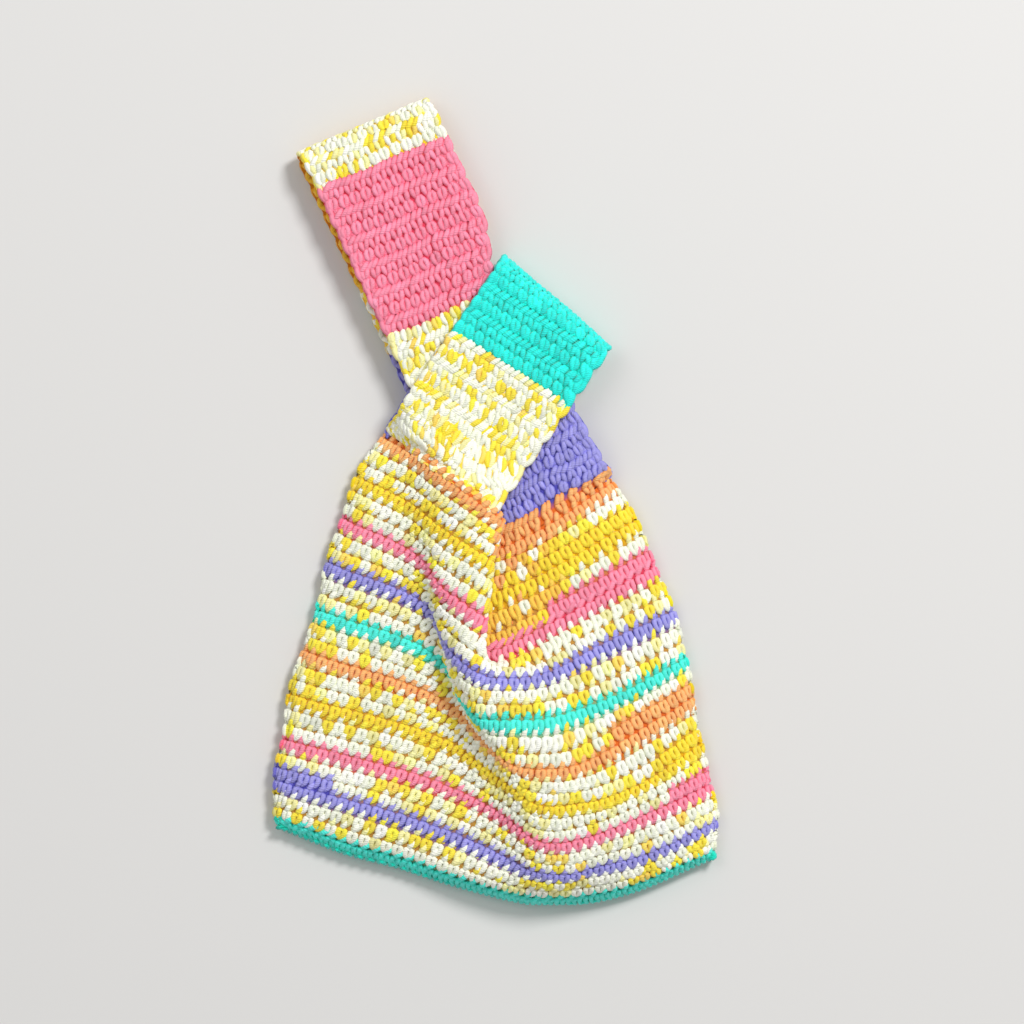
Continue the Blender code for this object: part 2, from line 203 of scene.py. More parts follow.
def inward(edge, neighbour, height):
    # the point where the rounding of the body's edge ends, towards a neighbour
    step = np.asarray(neighbour[:2], float) - np.asarray(edge[:2], float)
    step *= fabric["edgeRound"] / np.linalg.norm(step)
    return (edge[0] + step[0], edge[1] + step[1], height)


def rollHeights(level):
    # heights of the last rows, where the front rolls over the mouth
    share = (fabric["rounds"] - level) / rollShape["over"]
    valley, wall, top, low = (rollShape[place][0] + rollShape[place][1] * share
                              for place in ("valley", "wall", "top", "low"))
    gap = layers["rollGap"]
    return [valley, wall, top, (top + low + gap) / 2, low + gap, low + gap / 2, low, low]


def cageRows():
    # the front's rows as points, each with its rounded edges
    edge = fabric["edgeHeight"]
    heights = dict(frontHeights)
    heights[25] = rollHeights(25)
    heights[28] = rollHeights(28)
    rows = {}
    for number, plan in frontCage.items():
        levels = [edge, *heights.get(number, [edge] * 8), edge]
        points = [(x, y, z) for (x, y), z in zip(plan, levels)]
        crown = 2 * edge if number else edge
        points.insert(1, inward(points[0], points[1], crown))
        points.insert(-1, inward(points[-1], points[-2], crown))
        rows[number] = np.array(points)
    first = rows[0] + (rows[4] - rows[0]) * firstRow["plan"]
    first[:, 2] = 2 * edge + (rows[4][:, 2] - 2 * edge) * firstRow["height"]
    first[[0, -1], 2] = edge
    first[0, 0] -= fabric["cornerBulge"]
    rows[1] = first
    return sorted(rows.items())


def frontPoints(cage, level):
    numbers = [number for number, _ in cage]
    return smoothCurve(numbers, np.array([points for _, points in cage]), level)[0]


def frontAtLines(points, lines):
    knots = chordKnots(points)
    return smoothCurve(knots, points, np.interp(lines, np.arange(len(points)), knots))


def backPoints(cage, level):
    front = frontPoints(cage, level)
    middle = smoothCurve(list(backMiddle), list(backMiddle.values()), level)[0]
    floor = fabric["edgeHeight"] * (1 - ease(level / fabric["bottomTurn"]))
    centre = (middle[0], middle[1], floor)
    return [front[0], inward(front[0], centre, floor), centre,
            inward(front[-1], centre, floor), front[-1]]


def backLift(level, shares):
    start, end = backMouth
    across = ease((shares - start) / (end - start))
    across = across * (1 - ease((shares - backRise["end"]) / backRise["fall"]))
    return layers["underLong"] * ease((level - backRise["from"]) / backRise["over"]) * across


def backLine(cage, level, count=500):
    shares = np.linspace(0, 1, count)
    line = evenly(fineLine(backPoints(cage, level)), shares)
    plan = frontPoints(cage, level)
    plan[:, 2] = 0
    follow = 1 - ease(level / fabric["bottomRounds"])
    line += (evenly(fineLine(plan), shares) - line) * (1, 1, 0) * follow
    line[:, 2] = np.maximum(line[:, 2], 0) + backLift(level, shares)
    return line


def ringLine(cage, level, shares):
    # once round the body: the front from left to right, then the back from right to left
    front = fineLine(frontPoints(cage, level))
    return evenly(np.vstack([front, backLine(cage, level)[-2::-1]]), shares)


def strapReach(edge, middle, cross, distance, pressed):
    # how far a handle reaches to each side at a distance from the body
    share = ease(distance / strap["flare"])
    reach = [float(np.dot(end[:2] - middle, cross)) for end in (edge[0], edge[-1])]
    left = reach[0] + (-strap["width"] / 2 - reach[0]) * share
    right = reach[1] + (strap["width"] / 2 - reach[1]) * share
    return left, right - pressed


def strapSections(front, back, handle):
    # lines across a handle, up its front, round its top and down its back
    angle = math.radians(90 + handle["lean"])
    crossAngle = angle - math.pi / 2 + math.radians(handle["skew"])
    axis = np.array([math.cos(angle), math.sin(angle)])
    cross = np.array([math.cos(crossAngle), math.sin(crossAngle)])
    middle = (front[0][:2] + front[-1][:2]) / 2
    radius = handle["over"] / 2
    where, reach, depth = handle["pinch"]
    places = [(front, distance, heights, 0) for distance, heights in handle["rise"]]
    for turn in np.linspace(0, math.pi, 5):
        top = handle["length"] - radius + radius * math.sin(turn)
        heights = [radius + radius * math.cos(turn)] * 4
        places.append((front, top, heights, handle["backShift"] * turn / math.pi))
    places += [(back, distance, heights, handle["backShift"])
               for distance, heights in handle["fall"]]
    shares = np.linspace(0, 1, len(front))
    edgeShare = strap["edgeShare"]
    sections = []
    for edge, distance, heights, shift in places:
        pressed = depth * ease(1 - abs(distance - where) / reach)
        shift = shift * ease(distance / strap["flare"])
        left, right = strapReach(edge, middle, cross, distance, pressed)
        levels = np.interp(shares, (0, edgeShare, 1 - edgeShare, 1), heights)
        centre = middle + axis * distance
        sections.append([(*(centre + cross * (left + (right - left) * share + shift)), level)
                         for share, level in zip(shares, levels)])
    return np.array(sections)


# fine sheets that the stitches are laid on

def finishSheet(grid, stepsPerRow, closed):
    # adds the outward directions of a sheet, whose rows run across and steps run up
    if closed:
        along = np.roll(grid[:, :-1], -1, axis=1) - np.roll(grid[:, :-1], 1, axis=1)
        along = np.concatenate([along, along[:, :1]], axis=1)
    else:
        along = np.gradient(grid, axis=1)
    up = np.gradient(grid, axis=0)
    outward = np.cross(along, up)
    outward /= np.maximum(np.linalg.norm(outward, axis=2, keepdims=True), 1e-9)
    return {"grid": grid, "outward": outward, "stepsPerRow": stepsPerRow, "closed": closed}


def readSheet(sheet, rows, shares, layer="grid"):
    # reads a sheet between its points, and runs straight on a little beyond its edges
    grid = sheet[layer]
    last = grid.shape[1] - 1
    line = np.asarray(rows) * sheet["stepsPerRow"]
    if layer == "outward":
        line = np.clip(line, 0, grid.shape[0] - 1)
    column = np.asarray(shares) * last
    column = np.mod(column, last) if sheet["closed"] else np.clip(column, -0.01 * last, 1.01 * last)
    below = np.clip(np.floor(line).astype(int), 0, grid.shape[0] - 2)
    left = np.clip(np.floor(column).astype(int), 0, last - 1)
    up, right = (line - below)[..., None], (column - left)[..., None]
    return ((grid[below, left] * (1 - right) + grid[below, left + 1] * right) * (1 - up)
            + (grid[below + 1, left] * (1 - right) + grid[below + 1, left + 1] * right) * up)


def rowLength(sheet, row):
    shares = np.linspace(0, 1, 400)
    points = readSheet(sheet, np.full_like(shares, row), shares)
    return chordKnots(points)[-1]


def bodySheet(cage, stepsPerRow=4, count=1200):
    shares = np.linspace(0, 1, count + 1)
    levels = np.arange(fabric["rounds"] * stepsPerRow + 1) / stepsPerRow
    grid = np.array([ringLine(cage, level, shares) for level in levels])
    return finishSheet(grid, stepsPerRow, True)


def strapSheet(cage, side, handle, stepsPerRow=4, across=60):
    top = fabric["rounds"]
    front = frontAtLines(frontPoints(cage, top), strapLines[side])
    shares = np.interp(strapBackShares, [0, strapBackShares[-1]], [0, backMouth[0]])
    shares = shares if side == "left" else 1 - shares[::-1]
    back = evenly(backLine(cage, top), shares)
    sections = strapSections(front, back, handle)
    columns = [np.vstack([front[i], sections[:, i], back[i]]) for i in range(len(front))]
    length = chordKnots(np.mean(columns, axis=0))[-1]
    rows = 2 * round(length / (2 * fabric["rowHeight"]))
    steps = np.linspace(0, 1, rows * stepsPerRow + 1)
    lines = np.array([evenly(fineLine(column, count=900), steps) for column in columns])
    knots = np.linspace(0, 1, len(front))
    grid = smoothCurve(knots, lines, np.linspace(0, 1, across + 1)).transpose(1, 0, 2)
    sheet = finishSheet(grid, stepsPerRow, False)
    sheet["rows"] = rows
    return sheet


cage = cageRows()
body = bodySheet(cage)
straps = {
    "short": strapSheet(cage, "left", shortHandle),
    "long": strapSheet(cage, "right", longHandle),
}

# the sheets are set on the frame as the solid is
everyPoint = np.vstack([sheet["grid"].reshape(-1, 3) for sheet in (body, *straps.values())])
bagMiddle = (everyPoint.min(axis=0) + everyPoint.max(axis=0)) / 2
solidLow, solidHigh = (np.array(corner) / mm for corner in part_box("knot_bag"))
onFrame = (solidLow + solidHigh) / 2 - bagMiddle
onFrame[2] = 0
for sheet in (body, *straps.values()):
    sheet["grid"] = sheet["grid"] + onFrame

# how far a handle's edges swell, over what share of its width, and how full each swell is
scallop = {"left": 0.6, "right": 1.6, "share": 0.22, "fullness": 0.7}


def scalloped(sheet):
    # a handle's edges swell over every second row
    grid = sheet["grid"]
    turns = np.arange(grid.shape[0]) / sheet["stepsPerRow"] * math.pi / 2
    swell = abs(np.sin(turns)) ** scallop["fullness"]
    across = np.linspace(0, 1, grid.shape[1])
    inner = round(scallop["share"] * grid.shape[1])
    moved = grid.copy()
    sides = ((0, inner, across, scallop["left"]), (-1, -1 - inner, 1 - across, scallop["right"]))
    for edge, beside, distance, depth in sides:
        outside = grid[:, edge] - grid[:, beside]
        outside /= np.linalg.norm(outside, axis=1, keepdims=True)
        reach = depth * swell[:, None] * ease(1 - distance / scallop["share"])
        moved += outside[:, None] * reach[..., None]
    sheet["grid"] = moved


def straightened(sheet, free=6):
    # moves the rows along a handle until each runs straight across, but for those by its ends
    grid = sheet["grid"]
    shares = np.broadcast_to(np.linspace(0, 1, grid.shape[1]), grid.shape[:2])
    rows = np.arange(grid.shape[0])[:, None] / sheet["stepsPerRow"]
    up = np.gradient(grid, axis=0) * sheet["stepsPerRow"]
    bend = np.zeros(grid.shape[:2])
    for _ in range(3):
        places = readSheet(sheet, rows - bend, shares)
        straight = places[:, :1] + (places[:, -1:] - places[:, :1]) * shares[..., None]
        bend += ((places - straight) * up).sum(axis=2) / (up ** 2).sum(axis=2)
    moved = ease(rows / free) * ease((sheet["rows"] - rows) / free)
    sheet["grid"] = readSheet(sheet, rows - bend * moved, shares)


straightened(straps["short"])
for sheet in straps.values():
    scalloped(sheet)
print("sheets laid, rows of the handles", {name: sheet["rows"] for name, sheet in straps.items()})


# yarn colours

def linear(red, green, blue):
    values = np.array([red, green, blue]) / 255
    return np.where(values <= 0.04045, values / 12.92, ((values + 0.055) / 1.055) ** 2.4)


yarn = {
    "cream": linear(252, 254, 236),
    "fleck": linear(255, 234, 74),
    "warmFleck": linear(255, 222, 104),
    "paleFleck": linear(252, 246, 176),
    "teal": linear(84, 242, 226),
    "sea": linear(46, 240, 228),
    "purple": linear(164, 160, 230),
    "pink": linear(255, 150, 175),
    "gold": linear(255, 226, 62),
    "orange": linear(255, 186, 118),
    # painted warm shade of the patch beside the roll
    "shadeGold": linear(255, 208, 84),
    "dusk": linear(250, 200, 60),
    # painted shade for the gaps between the body's pale stitches
    "warmShade": linear(190, 138, 60),
}
stripeOrder = ("teal", "purple", "pink", "gold", "orange")
stripePeriod = 3
# places where a colour runs on into the next rounds: rounds, then from and to across the front
runOn = [
    (4, -140, -87, "purple"),
    (7, 92, 140, "pink"),
    (10, 90, 140, "gold"),
    (13, 60, 140, "orange"),
    (22, 28, 140, "pink"),
    (25, 22, 140, "gold"),
]
# the row where each colour of a handle ends
strapStripes = {
    "short": ((9, "cream"), (20, "sea"), (25, "cream"), (99, "purple")),
    "long": ((1, "orange"), (7, "purple"), (16, "cream"), (27, "pink"), (31, "cream"),
             (42, "dusk"), (47, "cream"), (99, "purple")),
}
# tones of the flecked pale yarn: how many of a plain and of a flecked stitch's strands take each
flecks = (("fleck", 0.04, 0.50), ("warmFleck", 0.01, 0.08), ("paleFleck", 0.12, 0.20))
# painted warm shade of the patch beside the roll, drawn as golden and orange flecks
shadeFlecks = (("shadeGold", 0.30, 0.55), ("gold", 0.20, 0.20), ("orange", 0.05, 0.13))
fleckedStitches = 0.36
# how often a strand is drawn apart from its stitch, and how much strands differ in tone
strandVary = {"newDraw": 0.35, "tone": 0.06}
# a patch of the front beside the roll where the pale yarn is mostly golden: real golden flecks, made far
# more here as painted warm shade
shadePatch = {"rounds": (21, 27), "from": -3.0, "to": 36.0, "flecked": 0.90}
dice = np.random.default_rng(11)


def bodyYarn(row, place, front):
    if front:
        for number, low, high, name in runOn:
            if row == number and low < place < high:
                return name
    if row % stripePeriod:
        # pale yarn in the patch beside the roll carries painted warm shade
        first, last = shadePatch["rounds"]
        patch = front and first <= row < last and shadePatch["from"] < place < shadePatch["to"]
        return "goldCream" if patch else "cream"
    return stripeOrder[row // stripePeriod % len(stripeOrder)]


def strapYarn(name, row):
    return next(colour for last, colour in strapStripes[name] if row < last)


def palePick(flecked, patch):
    draw = dice.random()
    for name, plain, mixed in shadeFlecks if patch else flecks:
        draw -= mixed if flecked else plain
        if draw < 0:
            return yarn[name]
    return yarn["cream"]


def strandColour(name, count):
    # the colour of each strand of a stitch
    share = shadePatch["flecked"] if name == "goldCream" else fleckedStitches
    flecked = dice.random() < share
    colours = []
    for _ in range(count):
        if dice.random() < strandVary["newDraw"]:
            flecked = dice.random() < share
        pale = name in ("cream", "goldCream")
        tone = palePick(flecked, name == "goldCream") if pale else yarn[name]
        colours.append(np.clip(tone * (1 + strandVary["tone"] * dice.standard_normal()), 0, 1))
    return colours


# stitches

# each strand of a stitch is a path of (across, up, out, thickness), in millimetres from the
# middle of the stitch's foot
stitch = {
    "sides": 6,
    "rings": 13,
    "shortRings": 5,
    "sink": 1.75,           # from the fabric's outer face down to the middle of a strand
    "flat": 0.86,           # a strand's thickness outwards as a share of its width
    "wobble": 0.16,         # how far strands stray across
    "rowWobble": 0.02,      # up, in rows
    "outWobble": 0.12,      # and outwards
    "probe": 0.002,         # share of a row over which its direction is read
    "riseProbe": 0.1,       # and rows over which the direction up is read
    "hem": 0.013,           # share of a handle's width kept free of strands at each edge
    "top": 1.2,             # painted shade: yarn is drawn darker and deeper in colour from this height over the strands' level
    "fall": 2.6,            # as it goes down this far
    "shadeDeepen": 1.1,
    "plyOffset": 7.3,       # along the twist from one stitch to the next
}
ring = [(0.4, 1.9, -1.1, 1.1), (-0.75, 2.9, 0.05, 1.5), (-1.62, 1.9, 0.35, 1.6), (-1.66, 0.3, 0.35, 1.6),
        (-1.15, -1.3, 0.2, 1.5), (0.0, -2.6, -0.1, 1.35), (1.15, -1.3, 0.2, 1.5), (1.66, 0.3, 0.35, 1.6),
        (1.62, 1.9, 0.35, 1.6), (0.75, 2.9, 0.05, 1.5), (-0.4, 1.9, -1.1, 1.1)]
roundStitch = [
    ring,
    [(-1.0, 3.4, -0.8, 1.3), (-0.35, 4.7, 0.3, 1.7), (0.45, 6.4, 0.4, 1.6), (1.1, 8.0, -0.8, 1.0)],
    [(-2.3, 4.3, -1.7, 1.0), (-1.1, 4.8, -0.8, 1.3), (1.1, 4.8, -0.8, 1.3), (2.3, 4.3, -1.7, 1.0)],
]
# a handle's rows are turned at each end, so every second one shows its other side
turnedStitch = [
    [(-0.7, -0.8, -1.1, 0.9), (-1.0, 0.5, 0.0, 1.25), (-1.55, 2.2, 0.35, 1.6), (-1.85, 3.8, 0.1, 1.5),
     (-1.9, 5.4, -0.9, 1.0)],
    [(0.7, -0.8, -1.1, 0.9), (1.0, 0.5, 0.0, 1.25), (1.55, 2.2, 0.35, 1.6), (1.8, 3.8, 0.1, 1.5),
     (2.0, 5.4, -0.9, 1.0)],
    [(-2.6, 3.9, -1.0, 1.1), (-1.4, 5.3, 0.1, 1.55), (0.2, 7.0, 0.2, 1.6), (1.6, 9.0, -0.7, 1.2)],
    [(0.6, 3.9, -1.0, 1.1), (1.7, 5.3, 0.0, 1.5), (3.3, 7.0, 0.1, 1.5), (4.7, 9.0, -0.7, 1.1)],
]
plainStitch = [
    [(-0.1, 7.8, -1.1, 0.9), (-0.85, 7.0, 0.0, 1.35), (-1.65, 5.5, 0.25, 1.55), (-1.45, 3.6, 0.3, 1.6),
     (-0.4, 1.4, -0.4, 1.2)],
    [(0.1, 7.8, -1.1, 0.9), (0.85, 7.0, 0.0, 1.35), (1.65, 5.5, 0.25, 1.55), (1.45, 3.6, 0.3, 1.6),
     (0.4, 1.4, -0.4, 1.2)],
    [(0.0, 6.8, -0.9, 1.0), (0.0, 5.4, -0.4, 1.1), (0.0, 3.6, -0.4, 1.1), (0.0, 2.4, -0.9, 1.0)],
    [(-4.0, 1.0, -1.3, 1.0), (-3.1, 2.6, -0.6, 1.35), (-2.7, 4.2, -0.8, 1.3), (-2.2, 5.4, -1.4, 1.0)],
]


def finePath(path, rings):
    path = np.array(path)
    return smoothCurve(np.linspace(0, 1, len(path)), path, np.linspace(0, 1, rings))


def laidStrands(sheet, rows, shares, scales, path, lean):
    # centre lines of one strand in many stitches, bent over the sheet
    count, rings = len(rows), len(path)
    probe, riseProbe = stitch["probe"], stitch["riseProbe"]
    here = readSheet(sheet, rows, shares)
    side = readSheet(sheet, rows, shares + probe) - readSheet(sheet, rows, shares - probe)
    rise = (readSheet(sheet, rows + riseProbe, shares) - here) / riseProbe
    width = np.linalg.norm(side, axis=1)
    slant = np.einsum("ij,ij->i", rise, side) / width
    up = np.broadcast_to(path[:, 1] / fabric["rowHeight"], (count, rings))
    across = path[:, 0] * scales[:, None] + lean * path[:, 1]
    across = across + stitch["wobble"] * dice.standard_normal((count, 1))
    atRows = rows[:, None] + up + stitch["rowWobble"] * dice.standard_normal((count, 1))
    atShares = shares[:, None] + (across - up * slant[:, None]) * 2 * probe / width[:, None]
    if sheet["closed"]:
        atRows = np.clip(atRows, 0, None)
    else:
        atShares = np.clip(atShares, stitch["hem"], 1 - stitch["hem"])
    out = path[:, 2] - stitch["sink"] + stitch["outWobble"] * dice.standard_normal((count, 1))
    outward = readSheet(sheet, atRows, atShares, "outward")
    outward /= np.linalg.norm(outward, axis=2, keepdims=True)
    centres = readSheet(sheet, atRows, atShares) + outward * out[..., None]
    return centres, outward


def tubes(centres, outward, path, colours):
    # tubes round many centre lines: points, faces, colours and places along the strand
    count, rings = centres.shape[:2]
    sides = stitch["sides"]
    forward = np.gradient(centres, axis=1)
    forward /= np.linalg.norm(forward, axis=2, keepdims=True)
    across = np.cross(forward, outward)
    across /= np.maximum(np.linalg.norm(across, axis=2, keepdims=True), 1e-6)
    upward = np.cross(across, forward)
    turn = np.arange(sides) * 2 * math.pi / sides
    wide, high = np.cos(turn)[:, None], (np.sin(turn) * stitch["flat"])[:, None]
    radii = path[None, :, 3, None, None]
    points = centres[:, :, None] + radii * (across[:, :, None] * wide + upward[:, :, None] * high)
    index = np.arange(count * rings * sides).reshape(count, rings, sides)
    a, b = index[:, :-1], index[:, 1:]
    faces = np.stack([a, np.roll(a, -1, axis=2), np.roll(b, -1, axis=2), b], axis=-1).reshape(-1, 4)
    # painted shade: the lower sides of each strand are drawn darker and more saturated, for the shade
    # between strands
    height = path[:, 2, None] + path[:, 3, None] * np.sin(turn) * stitch["flat"]
    paintedShade = 1 + stitch["shadeDeepen"] * np.clip((stitch["top"] - height) / stitch["fall"], 0, 1)
    tints = (colours[:, None, None] ** paintedShade[None, :, :, None]).reshape(-1, 3)
    length = np.linalg.norm(np.diff(centres, axis=1), axis=2).cumsum(axis=1)
    length = np.concatenate([np.zeros((count, 1)), length], axis=1)
    length = length + stitch["plyOffset"] * np.arange(count)[:, None]
    around = np.arange(sides)[None, None] / sides
    place = np.stack(np.broadcast_arrays(length[:, :, None], around, np.zeros((1, 1, 1))), axis=-1)
    return points.reshape(-1, 3), faces, tints, place.reshape(-1, 3)


def plainTubes(centres, outward, thickness, colours):
    # tubes whose lines are already laid, thicker and thinner along their length
    path = np.stack([0 * thickness, 0 * thickness, 0 * thickness, thickness], axis=1)
    return tubes(centres, outward, path, colours)


def joined(parts):
    points, faces, tints, places = zip(*parts)
    starts = np.cumsum([0] + [len(part) for part in points[:-1]])
    faces = [part + start for part, start in zip(faces, starts)]
    return np.vstack(points), np.vstack(faces), np.vstack(tints), np.vstack(places)


def makePiece(name, parts, material):
    points, faces, tints, places = joined(parts)
    mesh = bpy.data.meshes.new(name)
    mesh.vertices.add(len(points))
    mesh.vertices.foreach_set("co", (points * mm).ravel())
    mesh.loops.add(faces.size)
    mesh.loops.foreach_set("vertex_index", faces.ravel())
    mesh.polygons.add(len(faces))
    mesh.polygons.foreach_set("loop_start", np.arange(len(faces)) * 4)
    mesh.polygons.foreach_set("use_smooth", np.ones(len(faces), bool))
    mesh.update(calc_edges=True)
    mesh.validate()
    colour = mesh.color_attributes.new("yarnColourAndShade", "FLOAT_COLOR", "POINT")
    colour.data.foreach_set("color", np.hstack([tints, np.ones((len(tints), 1))]).ravel())
    place = mesh.attributes.new("strandPlace", "FLOAT_VECTOR", "POINT")
    place.data.foreach_set("vector", places.ravel())
    mesh.materials.append(material)
    piece = bpy.data.objects.new(name, mesh)
    bpy.context.scene.collection.objects.link(piece)
    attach(piece, "root")
    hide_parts("knot_bag")
    print("made", name, len(faces) * 2, "triangles")


# materials

yarnLook = {
    "roughness": 0.82,
    "sheen": 0.25,
    "sheenRoughness": 0.5,
    "specular": 0.25,
    "plyTwist": 0.9,        # turns of the plies for each millimetre along the strand
    "plies": 3,
    "plyDepth": 0.35,
    "fibreScale": 900,
    "fibreDetail": 3,
    "fibreTone": (0.90, 1.08),
    "bump": 0.6,
    "bumpDistance": 0.0004,
}


def mathNode(tree, operation, value, factor=None, added=None):
    node = tree.nodes.new("ShaderNodeMath")
    node.operation = operation
    tree.links.new(value, node.inputs[0])
    if factor is not None:
        node.inputs[1].default_value = factor
    if added is not None:
        tree.links.new(added, node.inputs[2])
    return node.outputs["Value"]


def plyHeight(tree, fibres):
    # the fibres' relief with the twist of the plies along each strand
    place = tree.nodes.new("ShaderNodeAttribute")
    place.attribute_name = "strandPlace"
    split = tree.nodes.new("ShaderNodeSeparateXYZ")
    tree.links.new(place.outputs["Vector"], split.inputs["Vector"])
    turn = 2 * math.pi
    along = mathNode(tree, "MULTIPLY", split.outputs["X"], yarnLook["plyTwist"] * turn)
    turned = mathNode(tree, "MULTIPLY_ADD", split.outputs["Y"], yarnLook["plies"] * turn, along)
    wave = mathNode(tree, "SINE", turned)
    return mathNode(tree, "MULTIPLY_ADD", wave, yarnLook["plyDepth"], fibres)


def yarnMaterial(name, twisted):
    material = bpy.data.materials.new(name)
    material.use_nodes = True
    tree = material.node_tree
    nodes, links = tree.nodes, tree.links
    shader = nodes["Principled BSDF"]
    shader.inputs["Roughness"].default_value = yarnLook["roughness"]
    shader.inputs["Sheen Weight"].default_value = yarnLook["sheen"]
    shader.inputs["Sheen Roughness"].default_value = yarnLook["sheenRoughness"]
    shader.inputs["Specular IOR Level"].default_value = yarnLook["specular"]

    # the yarn's colour with its painted shade, a little uneven from fibre to fibre
    colour = nodes.new("ShaderNodeAttribute")
    colour.attribute_name = "yarnColourAndShade"
    fibres = nodes.new("ShaderNodeTexNoise")
    fibres.inputs["Scale"].default_value = yarnLook["fibreScale"]
    fibres.inputs["Detail"].default_value = yarnLook["fibreDetail"]
    where = nodes.new("ShaderNodeTexCoord")
    links.new(where.outputs["Object"], fibres.inputs["Vector"])
    tone = nodes.new("ShaderNodeMapRange")
    tone.inputs["To Min"].default_value = yarnLook["fibreTone"][0]
    tone.inputs["To Max"].default_value = yarnLook["fibreTone"][1]
    links.new(fibres.outputs["Fac"], tone.inputs["Value"])
    mixed = nodes.new("ShaderNodeVectorMath")
    mixed.operation = "SCALE"
    links.new(colour.outputs["Color"], mixed.inputs[0])
    links.new(tone.outputs["Result"], mixed.inputs["Scale"])
    links.new(mixed.outputs["Vector"], shader.inputs["Base Color"])

    # the relief of the fibres and plies
    bump = nodes.new("ShaderNodeBump")
    bump.inputs["Strength"].default_value = yarnLook["bump"]
    bump.inputs["Distance"].default_value = yarnLook["bumpDistance"]
    relief = fibres.outputs["Fac"]
    links.new(plyHeight(tree, relief) if twisted else relief, bump.inputs["Height"])
    links.new(bump.outputs["Normal"], shader.inputs["Normal"])
    return material


strandMaterial = yarnMaterial("cottonStrands", True)
backingMaterial = yarnMaterial("cottonBacking", False)


# the fabric behind the stitches, tinted in painted shade

backing = {
    "depth": 2.1,           # under the fabric's outer face
    "thickness": 1.2,
    "shade": 0.72,
    "shadeDeepen": 2.2,
    "paleShadeDeepen": 1.3,
    "stepsPerRow": 2,
    "bodyStride": 5,        # columns of the sheet to one of the backing
    "strapStride": 2,
}


def backingShadeTone(name):
    # painted shade in the gaps: brown between the body's pale stitches, and a deeper, darker tone of the
    # others
    if name in ("cream", "goldCream"):
        return yarn["warmShade"]
    if name == "warmFleck":
        return yarn[name] ** backing["paleShadeDeepen"]
    return yarn[name] ** backing["shadeDeepen"] * backing["shade"]


def backingYarn(name):
    # painted shade: behind a handle's pale rows the gaps are a golden shade
    return "warmFleck" if name == "cream" else name


def backingPart(sheet, yarnAt):
    # a thin closed sheet under the stitches, coloured in rows with painted shade
    grid = sheet["grid"]
    stride = sheet["stepsPerRow"] // backing["stepsPerRow"]
    wide = backing["bodyStride"] if sheet["closed"] else backing["strapStride"]
    lines = np.arange(0, grid.shape[0], stride)
    columns = np.arange(0, grid.shape[1], wide)
    places = grid[np.ix_(lines, columns)]
    outward = sheet["outward"][np.ix_(lines, columns)]
    outer = places - outward * backing["depth"]
    inner = places - outward * (backing["depth"] + backing["thickness"])
    parts = []
    for face, flip in ((outer, False), (inner, True)):
        index = np.arange(face.shape[0] * face.shape[1]).reshape(face.shape[:2])
        corners = [index[:-1, :-1], index[:-1, 1:], index[1:, 1:], index[1:, :-1]]
        quads = np.stack(corners, axis=-1).reshape(-1, 4)
        quads = quads[:, ::-1] if flip else quads
        tints = [backingShadeTone(yarnAt(number / backing["stepsPerRow"], x))
                 for number in range(len(lines)) for x in face[number, :, 0]]
        points = face.reshape(-1, 3)
        parts.append((points, quads, np.array(tints), np.zeros_like(points)))
    return parts


# making the pieces

def rowStitches(sheet, row, count, phase):
    # the stitches of one row: their rows, places across and widths against the usual
    shares = (np.arange(count) + phase) / count
    scale = rowLength(sheet, row) / count / fabric["stitchPitch"]
    return np.full(count, float(row)), shares, np.full(count, scale)


def stitchCount(sheet, row):
    return round(rowLength(sheet, row) / fabric["stitchPitch"])


def stitchParts(sheet, rows, shares, scales, names, strands, lean):
    parts = []
    tints = [strandColour(name, len(strands)) for name in names]
    for number, path in enumerate(strands):
        fine = finePath(path, stitch["rings"] if path is ring else stitch["shortRings"])
        centres, outward = laidStrands(sheet, rows, shares, scales, fine, lean)
        parts.append(tubes(centres, outward, fine, np.array([tint[number] for tint in tints])))
    return parts


bottomEdge = {
    "rows": (0.75, 0.35, 0.0, 0.35, 0.75),
    "depths": (1.6, 1.2, 1.0, 1.2, 1.6),
    "thickness": (0.8, 1.3, 1.55, 1.3, 0.8),
    "lean": 0.6,
}


def bottomPart(sheet):
    # strands of the first round, where they turn from the front over the bottom edge to the back
    half = np.linalg.norm(np.diff(sheet["grid"][0], axis=0), axis=1).sum() / 2
    count = round(half / fabric["stitchPitch"] * 2)
    front = (np.arange(count) + 0.5) / count / 2
    lean = bottomEdge["lean"] / half
    shares = np.stack([front - lean, front - lean / 2, front,
                       1 - front - lean / 2, 1 - front - lean], axis=1)
    rows = np.broadcast_to(np.array(bottomEdge["rows"]), shares.shape)
    centres = readSheet(sheet, rows, shares)
    below = centres[:, 2] - (centres[:, 0] + centres[:, 4]) / 2
    below /= np.linalg.norm(below, axis=1, keepdims=True)
    outward = readSheet(sheet, rows, shares, "outward")
    outward[:, 2] = below
    centres = centres - outward * np.array(bottomEdge["depths"])[:, None]
    tints = np.array([strandColour(bodyYarn(0, 0, True), 1)[0] for _ in front])
    return plainTubes(centres, outward, np.array(bottomEdge["thickness"]), tints)


# rounds from and to, and whether on the front
bodyPieces = {
    "bodyFrontLow": (0, 14, True),
    "bodyFrontHigh": (14, 28, True),
    "bodyBackLow": (0, 14, False),
    "bodyBackHigh": (14, 28, False),
}
bodyStitches = {"foot": 0.30, "lean": 0.06, "stagger": 0.53, "edgeBelow": 0.5}


